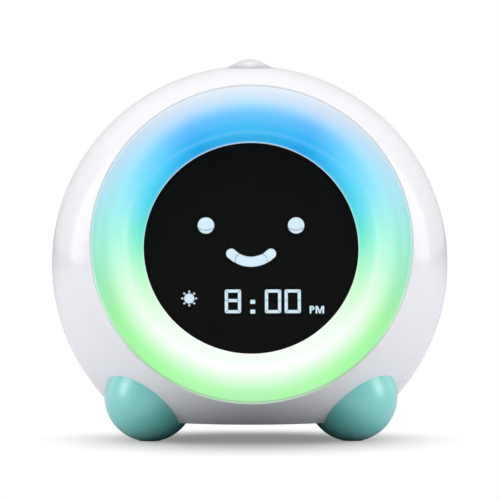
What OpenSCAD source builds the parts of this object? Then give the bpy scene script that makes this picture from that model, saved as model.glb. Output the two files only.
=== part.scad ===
// Children's alarm clock with a night light: a white ball-shaped body on four short feet, whose
// tilted face is an opal light ring round a smoked display. Millimetres, +Z up, the face looks
// along -Y, and the origin is on the table under the middle of the clock.

/* [Body] */
// Outer radius of the ball
ball_r = 75; // [74:0.5:76]
// Wall of the two shells
wall = 2.4; // [2.2:0.1:2.6]
// Height of the ball's centre above its flat underside
belly_cut = 57.5; // [57.2:0.1:57.8]
// Distance from the ball's centre to its flat back
back_cut = 48; // [47.5:0.5:49]
// Distance behind the ball's centre at which the two shells meet
split_back = 14; // [13:0.5:15]
// Length of the rear cover's spigot inside the front housing
lap_length = 6; // [4:0.5:7]
// Depth of the groove along the joint between the shells
seam_groove = 0.3; // [0.2:0.1:0.4]
// Width of the bevel round the flat back
back_bevel = 0.6; // [0.3:0.1:1]

/* [Face] */
// Upward tilt of the face
face_tilt = 12.8; // [11:0.2:14]
// Outer radius of the light ring
ring_r = 59.8; // [59.6:0.1:60]
// Height of the ring's outer edge along the face axis, from the ball's centre
ring_edge = 44.2; // [44:0.1:44.4]
// Radius of the ring's crest
crest_r = 50.8; // [50:0.2:51.6]
// Radius of the curve on the inner side of the crest
crest_inner_r = 6; // [5:0.5:7]
// Slope of the cone that runs down from the crest to the display
cone_slope = 63; // [62:0.5:65]
// Wall of the light ring
ring_wall = 2.2; // [1.8:0.1:2.4]
// Gap between the ring and the shell
ring_gap = 0.3; // [0.2:0.05:0.4]
// Chamfer on the shell's edge round the ring
ring_chamfer = 0.4; // [0.2:0.1:0.6]
// Number of lamps behind the ring
ring_led_count = 24; // [12:2:30]

/* [Display] */
// Radius of the smoked display lens
lens_r = 40.1; // [39.8:0.1:40.1]
// Height of the lens's front along the face axis
lens_front = 35.2; // [35:0.1:35.4]
// Thickness of the lens
lens_thick = 1.6; // [1.2:0.1:1.8]
// Radius of an eye dot
eye_r = 3.1; // [2.5:0.1:3.6]
// Distance of each eye dot from the middle line
eye_x = 16.9; // [15:0.1:19]
// Height of the eye dots above the face axis
eye_y = 8.8; // [7:0.2:10]
// Radius of the smile's middle line
smile_r = 10.5; // [9:0.5:12]
// Width of the smile
smile_width = 3.8; // [3:0.1:4.2]
// Height of a time digit
digit_h = 9; // [8:0.2:9.6]
// Width of a time digit
digit_w = 6.1; // [5.6:0.1:6.6]
// Stroke of a time digit
digit_stroke = 1.2; // [1:0.1:1.4]

/* [Top button] */
// Radius of the button
button_r = 9.9; // [9.6:0.1:10]
// Height of its rounded tip above the ball
button_rise = 2.6; // [2.4:0.1:2.9]
// Travel of the button
button_travel = 1.5; // [1:0.1:1.6]

/* [Back] */
// Radius of the speaker
speaker_r = 20; // [18:0.5:20.5]
// Rings of holes in the grille, round the middle hole
grille_rings = 4; // [3:1:4]
// Distance between the grille's rings of holes
grille_pitch = 3.4; // [3.2:0.1:3.5]
// Radius of one grille hole
grille_hole_r = 1.05; // [0.8:0.05:1.2]
// Radius of a key cap
key_r = 4.4; // [4:0.1:4.6]
// Distance between keys
key_pitch = 14; // [13:0.5:14.5]
// Height of the keys above the back
key_proud = 1.2; // [0.8:0.1:1.6]
// Travel of a key
key_travel = 0.8; // [0.5:0.1:0.8]
// Width of the battery door
door_w = 56; // [55:0.5:57]
// Height of the battery door
door_h = 26; // [25:0.5:27]

/* [Feet] */
// Radius of a foot
foot_r = 17; // [16.6:0.2:17.2]
// Distance of a foot's centre from the middle plane, sideways
foot_x = 38; // [37.6:0.2:38.4]
// Distance of a foot's centre in front of or behind the ball's centre
foot_f = 30.6; // [30:0.2:31]
// Depth of a foot's centre below the ball's centre
foot_drop = 48.1; // [47.8:0.1:48.4]
// Radius of the anti-slip pad
pad_r = 4.2; // [3.5:0.1:4.5]

/* [Hidden] */
$fn = 96;
far = 200;
seat_gap = 0.02;                              // at the stops that moving pieces rest against

// Ball
inner_r = ball_r - wall;
web_r = ball_r - wall / 2;                    // ribs and collars end inside the wall
floor_in = belly_cut - wall;
back_in = back_cut - wall;
lip_r = inner_r - 0.3;                        // bore of the front housing's lip
spigot_r = lip_r - 0.2;
spigot_wall = 1.8;

// Light ring: convex from the shell to the crest, convex again and steeper inside it
edge_lean = 54;                               // slope of the ring where it meets the ball
crest_outer_r = (ring_r - crest_r) / sin(edge_lean);
crest_z = ring_edge + crest_outer_r * (1 - cos(edge_lean));
cone_top = [crest_r - crest_inner_r * sin(cone_slope),
            crest_z - crest_inner_r * (1 - cos(cone_slope))];
lip_top = lens_front + 0.8;
lip_bottom = lens_front - lens_thick;
lens_bore_r = lens_r + 0.15;
seat_z = 33.5;                                // underside of the housing's collar
flange_t = 1.7;
flange_r = 63.2;
tray_t = 1.6;
ring_bore_r = ring_r + ring_gap;
collar_r = 64.3;
tray_z = seat_z - flange_t - tray_t;          // rear of the reflector tray's floor
screw_ring_r = 61.85;
ring_screw_r = 0.9;
ring_screw_count = 6;
lamp_ring_r = 51.3;

// Display stack, along the face axis
mask_r = lens_bore_r - 0.6;
mask_back = 25.6;
mask_flange_r = 47;
board_t = 1.6;
board_screw_r = 36;
diffuser_t = 2;
display_board_r = 43;
mask_screw_r = 44.3;
segment_gap = 0.16;                           // bridge of the mask between two segments
eyelid_r = 5.8;                               // curve of the bridge across each eye
smile_y = 5.5;                                // centre of the smile's arc
smile_bend = 20;                              // where the middle segment's round ends are centred
smile_end_r = 2.3;
time_y = -20;
digit_x = [-6.86, 8.14, 15.5];
digit_waist = 0.3;                            // middle of the digits' side segments
colon_x = 0.55;
colon_y = [-20.2, -23.9];
sun_pos = [-23.2, -18.9];
period_pos = [24.5, -23.2];
period_size = [6.2, 3.6];

// Top button, heights above the ball's centre: a rounded tip, a straight slope and a hollow skirt
// that runs out level with the ball
button_gap = 0.35;
button_slope = 27.5;
button_skirt_r = 7;
button_edge = [button_r, sqrt(ball_r * ball_r - button_r * button_r) - 0.15];
button_edge_slope = asin(button_r / ball_r);
skirt_centre = button_edge + button_skirt_r * [sin(button_edge_slope), cos(button_edge_slope)];
skirt_start = skirt_centre - button_skirt_r * [sin(button_slope), cos(button_slope)];
button_tip_z = ball_r + button_rise;
button_tip_r = (skirt_start.y + skirt_start.x * tan(button_slope) - button_tip_z)
    / (1 / cos(button_slope) - 1);
slope_start = [button_tip_r * sin(button_slope),
               button_tip_z - button_tip_r * (1 - cos(button_slope))];
button_flange_r = 11.4;
guide_bottom = 62;
button_step = 71.2;                           // underside of the pad that holds the button in
button_low = button_step - seat_gap - flange_t;    // underside of the button's flange
button_roof = button_step + 0.6;              // inside of its top, which the spring bears on
button_foot = guide_bottom + 4 + button_travel;    // end of its stem, above the switch
button_stem_r = 2.5;
guide_r = 13.4;
guide_bore_r = 11.8;
bracket_t = 2;
button_ear_x = 15.6;

// Back, in the frame seen from behind: x to the right, y up, z out of the back
speaker_y = 26;
speaker_ear_x = speaker_r + 4.2;
speaker_back = back_in - 11;                  // back of its basket, where the magnet starts
key_y = -3;
key_count = 6;
key_flange_r = 5.2;
key_boss_x = 43.6;
key_board_z = 37;
key_foot = key_board_z + 3.6 + key_travel;    // end of a key's stem, above its switch
door_y = -31;
door_t = 1.8;
door_gap = 0.3;
bay_w = 50;
bay_h = 22;
cell_r = 5.15;
cell_length = 44;
cell_z = 37.7;
cell_dy = 5.4;
socket_pos = [-41, -25];
socket_r = 4;
socket_bore_r = 2.75;
main_board_z = 20;
main_board_y = 9;
main_board_size = [100, 50];
main_post = [45, 22];                         // corner posts, from the board's middle

plug_drop = 18;                               // main board's cable plug, below the board's middle
plug_h = 4;
cable_w = 16;

// Screws that join the shells
shell_screws = [[50.5, 42.5], [-50.5, 42.5], [55, -34], [-55, -34]];
post_r = 3.6;
boss_r = 4.6;
well_r = 2.75;
seat_back = 20;                               // where the heads seat, behind the ball's centre
post_end = 6;
shell_screw_r = 1.25;

// Feet
foot_reach = norm([foot_x, foot_f, foot_drop]);
foot_flat = 0.8;                              // the sole is cut this far above the foot's lowest point
pad_proud = 0.4;
pad_depth = 1.2;
peg_r = 4.5;
peg_in = 5.4;

// Ball's centre above the table, and behind the middle of the clock's depth
ball_z = foot_drop + foot_r - foot_flat + pad_proud;
face_reach = (crest_z - crest_outer_r) * cos(face_tilt) + crest_r * sin(face_tilt) + crest_outer_r;
back_reach = back_cut + key_proud;
ball_y = (face_reach - back_reach) / 2;

// ---------------------------------------------------------------- frames

// The ball's centre
module in_ball() translate([0, ball_y, ball_z]) children();

// The face: x to the right seen from the front, y up, z out along the face axis
module in_face() in_ball() rotate([90 - face_tilt, 0, 0]) children();

// The back: x to the right seen from behind, y up, z out of the back
module in_back() in_ball() rotate([90, 0, 180]) children();

// A foot's axis, z from the ball's centre out through the foot
module on_foot(side, end) {
    reach = [side * foot_x, -end * foot_f, -foot_drop];
    in_ball() rotate([0, acos(reach.z / foot_reach), atan2(reach.y, reach.x)]) children();
}

module all_feet() for (side = [-1, 1], end = [-1, 1]) on_foot(side, end) children();

// ---------------------------------------------------------------- plain shapes

module disc(r, z0, z1) translate([0, 0, z0]) cylinder(r = r, h = z1 - z0);

module tube(r_out, r_in, z0, z1) difference() {
    disc(r_out, z0, z1);
    disc(r_in, z0 - 1, z1 + 1);
}

module block(size, z0, z1) translate([-size.x / 2, -size.y / 2, z0]) cube([size.x, size.y, z1 - z0]);

module round_rect(size, r) {
    square([size.x - 2 * r, size.y], center = true);
    square([size.x, size.y - 2 * r], center = true);
    for (sx = [-1, 1], sy = [-1, 1])
        translate([sx * (size.x / 2 - r), sy * (size.y / 2 - r)]) circle(r);
}

module plate(size, r, z0, z1) translate([0, 0, z0]) linear_extrude(z1 - z0) round_rect(size, r);

// A band of a ring section: thickness t inside radius r, from angle a0 to a1
module arc_band(centre, r, t, a0, a1) translate(centre) intersection() {
    difference() {
        circle(r);
        circle(r - t);
    }
    polygon([[0, 0], 2 * r * [cos(a0), sin(a0)], 2 * r * [cos((a0 + a1) / 2), sin((a0 + a1) / 2)],
             2 * r * [cos(a1), sin(a1)]]);
}

// A wire coil along z, tapering from radius r0 to r1, as one swept tube
module coil(r0, r1, height, turns, wire_r, steps_per_turn) {
    sides = 6;
    steps = turns * steps_per_turn;
    rings = [for (i = [0:steps]) let (
        share = i / steps,
        turn = share * turns * 360,
        r = r0 + (r1 - r0) * share,
        z = wire_r + share * (height - 2 * wire_r))
        [for (k = [0:sides - 1]) let (
            a = k * 360 / sides,
            out = r + wire_r * cos(a))
            [out * cos(turn), out * sin(turn), z + wire_r * sin(a)]]];
    points = [for (ring = rings) each ring];
    walls = [for (i = [0:steps - 1], k = [0:sides - 1]) let (
        a = i * sides + k,
        b = i * sides + (k + 1) % sides)
        each [[a, b + sides, a + sides], [a, b, b + sides]]];
    first = [for (k = [sides - 1:-1:0]) k];
    last = [for (k = [0:sides - 1]) steps * sides + k];
    polyhedron(points, concat(walls, [first], [last]), convexity = 10);
}

// ---------------------------------------------------------------- ball

// The ball with its flat underside
module ball_solid(r, underside) intersection() {
    sphere(r);
    translate([-far / 2, -far / 2, -underside]) cube([far, far, far]);
}

// Everything in front of the plane that lies back behind the ball's centre
module in_front_of(back) translate([-far / 2, back - far, -far / 2]) cube(far);

module behind(back) translate([-far / 2, back, -far / 2]) cube(far);

// Slice of the ball's section between two distances behind the centre, flat underside included
module section_slab(r, underside, back0, back1) intersection() {
    translate([0, back1, 0]) rotate([90, 0, 0]) cylinder(r = r, h = back1 - back0);
    translate([-far / 2, -far / 2, -underside]) cube(far);
}

module front_shell() difference() {
    intersection() {
        ball_solid(ball_r, belly_cut);
        in_front_of(split_back);
    }
    ball_solid(inner_r, floor_in);
    section_slab(lip_r, floor_in, 1, split_back + 1);
    joint_groove();
}

// A bore out through the ball with a bevelled edge
module bevelled_bore(r, bevel, z0) {
    disc(r, z0, far);
    translate([0, 0, sqrt(pow(ball_r, 2) - pow(r + bevel, 2)) - bevel])
        cylinder(h = 4, r1 = r, r2 = r + 4);
}

// V-groove round the ball where the shells meet
module joint_groove() translate([0, split_back, 0]) rotate([90, 0, 0]) rotate_extrude() {
    rim_r = sqrt(ball_r * ball_r - split_back * split_back) - seam_groove;
    polygon([[rim_r, 0], [rim_r + 3, -3], [rim_r + 3, 3]]);
}

// Collar that the light ring seats against, and the pad that holds the top button in
module face_collar() intersection() {
    sphere(web_r);
    rotate([90 - face_tilt, 0, 0]) tube(collar_r, ring_bore_r, seat_z, ball_r);
}

module button_guide() intersection() {
    sphere(web_r);
    union() {
        disc(guide_r, guide_bottom, ball_r);
        for (side = [-1, 1]) translate([side * button_ear_x, 0, 0]) disc(2.6, guide_bottom, ball_r);
    }
}

// Posts that take the shell screws, each tied to the wall by a rib
module shell_posts() intersection() {
    sphere(web_r);
    for (at = shell_screws) {
        out = atan2(at.y, at.x);
        translate([at.x, 0, at.y]) {
            translate([0, post_end, 0]) rotate([90, 0, 0]) cylinder(r = post_r, h = 42);
            rotate([0, -out, 0]) translate([post_r - 1, -24, -1]) cube([12, 23 + post_end, 2]);
        }
    }
}

module front_housing() color("white") {
    difference() {
        in_ball() {
            front_shell();
            difference() {
                union() {
                    face_collar();
                    button_guide();
                    difference() {
                        shell_posts();
                        rotate([90 - face_tilt, 0, 0]) disc(flange_r + 0.4, tray_z - 1.8, seat_z);
                    }
                }
                section_slab(far / 2, -floor_in - belly_cut, -far, far);
            }
        }
        in_face() {
            bevelled_bore(ring_bore_r, ring_chamfer, seat_z - 2);
            ring_screw_places() disc(ring_screw_r, seat_z - 1, seat_z + 4.5);
        }
        in_ball() {
            bevelled_bore(button_r + button_gap, 0.3, button_step - 1);
            disc(guide_bore_r, guide_bottom - 1, button_step);
            for (side = [-1, 1]) translate([side * button_ear_x, 0, 0])
                disc(0.8, guide_bottom - 1, guide_bottom + 5);
            for (at = shell_screws) translate([at.x, post_end + 1, at.y])
                rotate([90, 0, 0]) cylinder(r = shell_screw_r, h = 12);
        }
        for (side = [-1, 1]) on_foot(side, 1) disc(peg_r, ball_r - 12, ball_r + 2);
    }
}

module rear_cover() color("whitesmoke") difference() {
    union() {
        in_ball() {
            difference() {
                intersection() {
                    ball_solid(ball_r, belly_cut);
                    behind(split_back);
                    rotate([90, 0, 180]) back_cone();
                }
                intersection() {
                    ball_solid(inner_r, floor_in);
                    in_front_of(back_in);
                }
                joint_groove();
            }
            lap_spigot();
        }
        in_back() back_inside();
    }
    in_back() back_holes();
    for (side = [-1, 1]) on_foot(side, -1) disc(peg_r, ball_r - 12, ball_r + 2);
}

// Flat back with its narrow bevel, as a cylinder cut by a wide cone
module back_cone() {
    rim_r = sqrt(ball_r * ball_r - back_cut * back_cut);
    lean = atan(rim_r / back_cut) / 2;
    reach = back_cut * cos(lean) + rim_r * sin(lean) - back_bevel;
    tip = reach / cos(lean);
    intersection() {
        disc(far / 2, 0, back_cut);
        cylinder(h = tip, r1 = tip / tan(lean), r2 = 0);
    }
}

// Spigot that slides into the front housing's lip, open at the top to clear the button's guide
module lap_spigot() difference() {
    section_slab(spigot_r, floor_in - 0.2, split_back - lap_length, split_back + 4);
    section_slab(spigot_r - spigot_wall, floor_in - 0.2 - spigot_wall, 0, split_back + 9);
    disc(guide_r + 0.5, 0, far / 2);
}

// What stands on the inside of the back: screw bosses, speaker wall, board posts, battery frame
module back_inside() intersection() {
    sphere(web_r);
    union() {
        for (at = shell_screws) translate([-at.x, at.y, 0]) {
            disc(boss_r, post_end, back_in);
            rotate(atan2(at.y, -at.x)) translate([boss_r - 1, -1, split_back + 1]) cube([12, 2, 30]);
        }
        translate([0, speaker_y, 0]) tube(speaker_r + 1.8, speaker_r + 0.2, back_in - 4, back_in + 1);
        for (side = [-1, 1]) translate([side * speaker_ear_x, speaker_y, 0])
            disc(2.6, back_in - 4, back_in + 1);
        main_board_posts() disc(3, main_board_z + board_t, back_in + 1);
        for (side = [-1, 1]) translate([side * key_boss_x, key_y, 0])
            disc(2.6, key_board_z + board_t, back_in + 1);
        translate([0, door_y, 0]) plate([door_w + 5, door_h + 5], 4, back_in - 2, back_in + 1);
    }
}

module back_holes() {
    for (ring = [0:grille_rings], k = [0:max(0, 6 * ring - 1)])
        translate([0, speaker_y, 0]) rotate(k * 60 / max(1, ring)) translate([ring * grille_pitch, 0, 0])
            disc(grille_hole_r, back_in - 1, far / 2);
    key_places() disc(key_r + 0.3, back_in - 1, far / 2);
    translate([0, door_y, 0]) {
        plate([door_w + 2 * door_gap, door_h + 2 * door_gap], 3 + door_gap,
            back_cut - door_t - seat_gap, back_cut + 1);
        plate([bay_w, bay_h], 1.5, back_in - 3, back_cut);
    }
    translate(socket_pos) disc(socket_r + 0.15, back_in - 1, far / 2);
    for (at = shell_screws) translate([-at.x, at.y, 0]) {
        disc(well_r, seat_back, far / 2);
        disc(shell_screw_r + 0.3, 0, far / 2);
    }
    main_board_posts() disc(0.9, main_board_z, main_board_z + 8);
    for (side = [-1, 1]) {
        translate([side * key_boss_x, key_y, 0]) disc(0.9, key_board_z, back_in - 1);
        translate([side * speaker_ear_x, speaker_y, 0]) disc(0.9, back_in - 6, back_in - 1);
    }
}

module main_board_posts() for (sx = [-1, 1], sy = [-1, 1])
    translate([sx * main_post.x, main_board_y + sy * main_post.y, 0]) children();

module housing_screws() color("silver") in_back() for (at = shell_screws)
    translate([-at.x, at.y, 0]) {
        disc(well_r - 0.4, seat_back, seat_back + 1.8);
        disc(shell_screw_r, -2, seat_back + 1);
    }

// ---------------------------------------------------------------- light ring

module ring_profile() {
    cone_run = (cone_top.y - lip_top) / tan(cone_slope);
    lip_r_in = cone_top.x - cone_run;
    back = ring_wall * [sin(cone_slope), -cos(cone_slope)];
    arc_band([crest_r, crest_z - crest_outer_r], crest_outer_r, ring_wall, 90 - edge_lean, 90);
    arc_band([crest_r, crest_z - crest_inner_r], crest_inner_r, ring_wall, 90, 90 + cone_slope);
    polygon([cone_top, [lip_r_in, lip_top], [lip_r_in, lip_top] + back, cone_top + back]);
    translate([lens_bore_r, lip_bottom]) square([2.4, lip_top - lip_bottom]);
    translate([ring_r - ring_wall, seat_z - flange_t]) square([ring_wall, ring_edge - seat_z + flange_t]);
    translate([ring_r - ring_wall, seat_z - flange_t]) square([flange_r - ring_r + ring_wall, flange_t]);
}

module ring_screw_places() for (k = [0:ring_screw_count - 1])
    rotate(k * 360 / ring_screw_count) translate([screw_ring_r, 0, 0]) children();

module light_ring() color("aquamarine") in_face() difference() {
    rotate_extrude() ring_profile();
    ring_screw_places() disc(ring_screw_r + 0.2, tray_z, seat_z + 1);
}

module ring_reflector() color("ghostwhite") in_face() difference() {
    rotate_extrude() {
        translate([mask_r + 1.4, tray_z]) square([flange_r - mask_r - 1.4, tray_t]);
        translate([ring_r - ring_wall - 2, tray_z]) square([1.7, 8.5]);
        translate([43.2, tray_z]) square([1.4, 4]);
    }
    ring_screw_places() disc(ring_screw_r + 0.2, tray_z - 1, seat_z);
    mask_screw_places() disc(0.6, tray_z - 1, tray_z + 2.6);
}

module ring_led_board() color("seagreen") in_face()
    tube(lamp_ring_r + 4, lamp_ring_r - 4.4, tray_z + tray_t, tray_z + tray_t + 1.4);

module ring_leds() color("lightyellow") in_face() for (k = [0:ring_led_count - 1])
    rotate((k + 0.5) * 360 / ring_led_count) translate([lamp_ring_r, 0, 0])
        block([5, 5], tray_z + tray_t + 1.4, tray_z + tray_t + 3);

module ring_screws() color("silver") in_face() {
    ring_screw_places() {
        disc(1.3, tray_z - 1.4, tray_z);
        disc(ring_screw_r, tray_z - 1, seat_z + 4);
    }
    mask_screw_places() {
        disc(1.1, tray_z - 2.7, tray_z - 1.5);
        disc(0.6, tray_z - 2, tray_z + 2);
    }
}

// ---------------------------------------------------------------- display

module display_lens() color("black") in_face() rotate_extrude() polygon([[0, lip_bottom],
    [lens_r, lip_bottom], [lens_r, lens_front - 0.4], [lens_r - 0.4, lens_front], [0, lens_front]]);

module mask_screw_places() for (k = [0:3])
    rotate(45 + 90 * k) translate([mask_screw_r, 0, 0]) children();

// A digit as a frame of segments parted by mitres at its corners and a cut at its waist
module digit(with_bar) {
    hollow = [digit_w - 2 * digit_stroke, digit_h - 2 * digit_stroke];
    difference() {
        round_rect([digit_w, digit_h], 0.6);
        square(hollow, center = true);
        for (sx = [-1, 1]) {
            for (sy = [-1, 1]) translate([sx * digit_w / 2, sy * digit_h / 2])
                rotate(sx * sy * 45) square([5 * digit_stroke, segment_gap], center = true);
            translate([sx * digit_w / 2, digit_waist])
                square([3 * digit_stroke, segment_gap], center = true);
        }
    }
    if (with_bar) translate([0, digit_waist])
        square([hollow.x - 2 * segment_gap, digit_stroke], center = true);
}

// A round eye with the bridge that parts its lower lid
module eye() difference() {
    circle(eye_r);
    translate([0, eyelid_r - 0.58 * eye_r]) difference() {
        circle(eyelid_r + segment_gap / 2);
        circle(eyelid_r - segment_gap / 2);
    }
}

// The smile's middle segment has round ends, and a segment with a round tip fits on each side
module smile() translate([0, smile_y]) {
    rim = smile_r + smile_width / 2;
    intersection() {
        difference() {
            circle(rim);
            circle(rim - smile_width);
        }
        union() {
            polygon([[0, 0], 2 * rim * [-sin(smile_bend), -cos(smile_bend)], [0, -2 * rim],
                     2 * rim * [sin(smile_bend), -cos(smile_bend)]]);
            for (side = [-1, 1]) rotate(side * smile_bend) translate([0, -smile_r]) circle(smile_end_r);
        }
    }
    for (side = [0, 1]) mirror([side, 0]) difference() {
        union() {
            arc_band([0, 0], rim, smile_width, smile_bend - 90, -45);
            rotate(45) translate([0, -smile_r]) circle(smile_width / 2 + 0.05);
        }
        rotate(smile_bend) translate([0, -smile_r]) circle(smile_end_r + segment_gap);
    }
}

module sun() translate(sun_pos) {
    circle(1.9);
    for (k = [0:7]) rotate(k * 45) translate([2.6, 0]) round_rect([0.85, 0.66], 0.28);
}

// Every lit shape of the display
module lit_shapes() {
    for (side = [-1, 1]) translate([side * eye_x, eye_y]) eye();
    smile();
    for (k = [0:2]) translate([digit_x[k], time_y]) digit(k == 0);
    for (y = colon_y) translate([colon_x, y]) square([1.8, 1.5], center = true);
    sun();
    translate(period_pos) square(period_size, center = true);
}

module segment_mask() color("dimgray") in_face() difference() {
    union() {
        disc(mask_r, mask_back, lip_bottom);
        disc(mask_flange_r, tray_z - 1.5, tray_z);
    }
    translate([0, 0, mask_back - 1]) linear_extrude(12) lit_shapes();
    mask_screw_places() disc(0.8, tray_z - 2, tray_z + 1);
    display_screw_places() disc(0.9, mask_back - 1, mask_back + 5);
}

module segment_diffusers() color("aliceblue") in_face()
    translate([0, 0, lip_bottom - diffuser_t - 0.1]) linear_extrude(diffuser_t) lit_shapes();

module display_board() color("darkgreen") in_face() difference() {
    disc(display_board_r, mask_back - board_t, mask_back);
    display_screw_places() disc(1.1, mask_back - board_t - 1, mask_back + 1);
}

module display_screw_places() for (a = [30, 150, 210, 330])
    rotate(a) translate([board_screw_r, 0, 0]) children();

// A lamp behind each lit shape, with two behind the long ones
module segment_leds() color("lightyellow") in_face() {
    across = (digit_w - digit_stroke) / 2;
    down = (digit_h - digit_stroke) / 4;
    lamp = [1.1, 0.7];
    places = concat(
        [for (side = [-1, 1]) [side * eye_x, eye_y]],
        [for (a = [-38, 0, 38]) [smile_r * sin(a), smile_y - smile_r * cos(a)]],
        [for (x = digit_x, side = [-1, 1], half = [-1, 1]) [x + side * across, time_y + half * down]],
        [for (x = digit_x, level = [-1, 1]) [x, time_y + level * 2 * down]],
        [[digit_x[0], time_y + digit_waist], sun_pos, period_pos], [for (y = colon_y) [colon_x, y]]);
    for (at = places) translate(at) block(lamp, mask_back, mask_back + 0.7);
}

// ---------------------------------------------------------------- boards

module main_board() color("darkgreen") in_back() difference() {
    translate([0, main_board_y, 0]) plate(main_board_size, 2, main_board_z, main_board_z + board_t);
    main_board_posts() disc(1.1, main_board_z - 1, main_board_z + 3);
}

module chip(at, size, height) translate([at.x, at.y, -height]) block(size, 0, height);

// Processor, sound chip, memory, capacitors and plugs on the side away from the speaker
module board_chips() color("#262626") {
    in_back() translate([0, main_board_y, main_board_z]) {
        chip([-18, 4], [12, 12], 1.6);
        chip([8, 8], [9, 6], 1.5);
        chip([30, -8], [7, 5], 1.5);
        chip([-34, -12], [10, 6], 6);
        chip([0, -plug_drop], [cable_w + 1, 4.5], plug_h);
        for (x = [22, 30, 38]) translate([x, 12, -8]) cylinder(r = 3, h = 8);
    }
    in_face() translate([0, -35, mask_back - board_t]) chip([0, 0], [cable_w + 1, 6], plug_h);
}

// Flat cable from the main board's plug: out, down and forward to the display board's plug
module ribbon_cable() color("gainsboro") in_ball() {
    thick = 0.8;
    bend_r = 5;
    start = [main_board_z - plug_h, main_board_y - plug_drop];
    turn_1 = [start.x - bend_r, start.y - bend_r - thick / 2];
    turn_2 = [turn_1.x - 2 * bend_r - thick, turn_1.y - 2 * bend_r];
    run_z = turn_2.y - bend_r - thick;
    plug_back = mask_back - board_t - plug_h;
    end_y = -(plug_back - run_z * sin(face_tilt)) / cos(face_tilt) + 0.1;
    translate([-cable_w / 2, 0, 0]) rotate([90, 0, 90]) linear_extrude(cable_w) {
        translate([turn_1.x, start.y - thick / 2]) square([bend_r, thick]);
        arc_band(turn_1, bend_r + thick, thick, 90, 180);
        translate([turn_1.x - bend_r - thick, turn_2.y]) square([thick, 2 * bend_r]);
        arc_band(turn_2, bend_r + thick, thick, 270, 360);
        translate([end_y, run_z]) square([turn_2.x - end_y, thick]);
    }
}

module board_screws() color("silver") {
    in_back() back_board_screws();
    in_face() display_screw_places() {
        disc(1.9, mask_back - board_t - 1.4, mask_back - board_t);
        disc(0.9, mask_back - board_t - 1, mask_back + 4.5);
    }
}

module back_board_screws() {
    main_board_posts() {
        disc(1.9, main_board_z - 1.5, main_board_z);
        disc(0.9, main_board_z - 1, main_board_z + 6);
    }
    for (side = [-1, 1]) {
        translate([side * key_boss_x, key_y, 0]) {
            disc(1.9, key_board_z - 1.5, key_board_z);
            disc(0.9, key_board_z - 1, key_board_z + 5);
        }
        translate([side * speaker_ear_x, speaker_y, 0]) {
            disc(1.9, back_in - 6.7, back_in - 5.2);
            disc(0.9, back_in - 6, back_in - 1);
        }
    }
}

// ---------------------------------------------------------------- top button

// Half section: a low cone with a rounded tip, its rim sunk just below the ball, over a skirt
// with a flange and a stem
// The tip and the skirt run 0.02 over, so that they cross the slope instead of just touching it
module top_button() color("white") in_ball() {
    skirt_wall = 1.6;
    difference() {
        rotate_extrude() polygon([
            [0, button_roof], [0, slope_start.y], slope_start, skirt_start,
            [button_r - 0.3, skirt_start.y], [button_r, button_edge.y - 0.35],
            [button_r, button_low + flange_t], [button_flange_r, button_low + flange_t],
            [button_flange_r, button_low], [button_r - skirt_wall, button_low],
            [button_r - skirt_wall, button_roof]]);
        rotate_extrude() translate(skirt_centre) circle(button_skirt_r + 0.02);
    }
    intersection() {
        translate([0, 0, button_tip_z - button_tip_r]) sphere(button_tip_r + 0.02);
        disc(button_tip_r, slope_start.y - 0.5, far);
    }
    disc(button_stem_r, button_foot, button_roof + 1);
}

module button_spring() color("silver") in_ball() translate([0, 0, guide_bottom])
    coil(7.6, 7.6, button_roof - seat_gap - guide_bottom, 4.5, 0.4, 16);

module button_bracket() color("gainsboro") in_ball() difference() {
    union() {
        disc(guide_r, guide_bottom - bracket_t, guide_bottom);
        for (side = [-1, 1]) translate([side * button_ear_x, 0, 0])
            disc(2.6, guide_bottom - bracket_t, guide_bottom);
    }
    for (side = [-1, 1]) translate([side * button_ear_x, 0, 0])
        disc(0.8, guide_bottom - 3, guide_bottom + 1);
}

module top_switch() color("dimgray") in_ball() {
    block([10, 9], guide_bottom, guide_bottom + 1);
    block([6, 6], guide_bottom + 1, guide_bottom + 3);
    disc(1.6, guide_bottom + 3, guide_bottom + 3.8);
}

// ---------------------------------------------------------------- speaker

module at_speaker() in_back() translate([0, speaker_y, 0]) children();

module speaker_gasket() color("#202020") at_speaker() tube(speaker_r, 16.5, back_in - 1, back_in);

module speaker_frame() color("silver") at_speaker() rotate_extrude() {
    polygon([[16.5, back_in - 1], [speaker_r, back_in - 1], [speaker_r, back_in - 2.2],
             [17.5, back_in - 2.2], [12.5, speaker_back + 1], [12.5, speaker_back], [3.5, speaker_back],
             [3.5, speaker_back + 1], [11.6, speaker_back + 1], [16.5, back_in - 2.2]]);
}

// Paper cone with its roll surround and dust cap
module speaker_cone() color("#303030") at_speaker() rotate_extrude() {
    arc_band([14.6, back_in - 2.2], 1.9, 0.6, 0, 180);
    polygon([[13.3, back_in - 2.2], [12.7, back_in - 2.2], [5.6, back_in - 7], [6, back_in - 7.4]]);
    intersection() {
        arc_band([0, back_in - 10.6], 6.9, 0.6, 25, 90);
        square([7, back_in]);
    }
}

module speaker_magnet() color("dimgray") at_speaker() {
    disc(11.5, speaker_back - 6, speaker_back);
    disc(3.4, speaker_back, speaker_back + 3);
}

module speaker_clamp() color("gainsboro") at_speaker() difference() {
    union() {
        tube(speaker_r + 1.4, 17.8, back_in - 6, back_in - 4);
        for (side = [-1, 1]) translate([side * speaker_ear_x, 0, 0])
            disc(3, back_in - 5.2, back_in - 4);
        tube(speaker_r, speaker_r - 1.6, back_in - 4, back_in - 2.2);
    }
    for (side = [-1, 1]) translate([side * speaker_ear_x, 0, 0]) disc(0.9, back_in - 7, back_in);
}

// ---------------------------------------------------------------- keys

module key_places() for (k = [0:key_count - 1]) key_place(k) children();

module key_place(k) translate([(k - (key_count - 1) / 2) * key_pitch, key_y, 0]) children();

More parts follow.
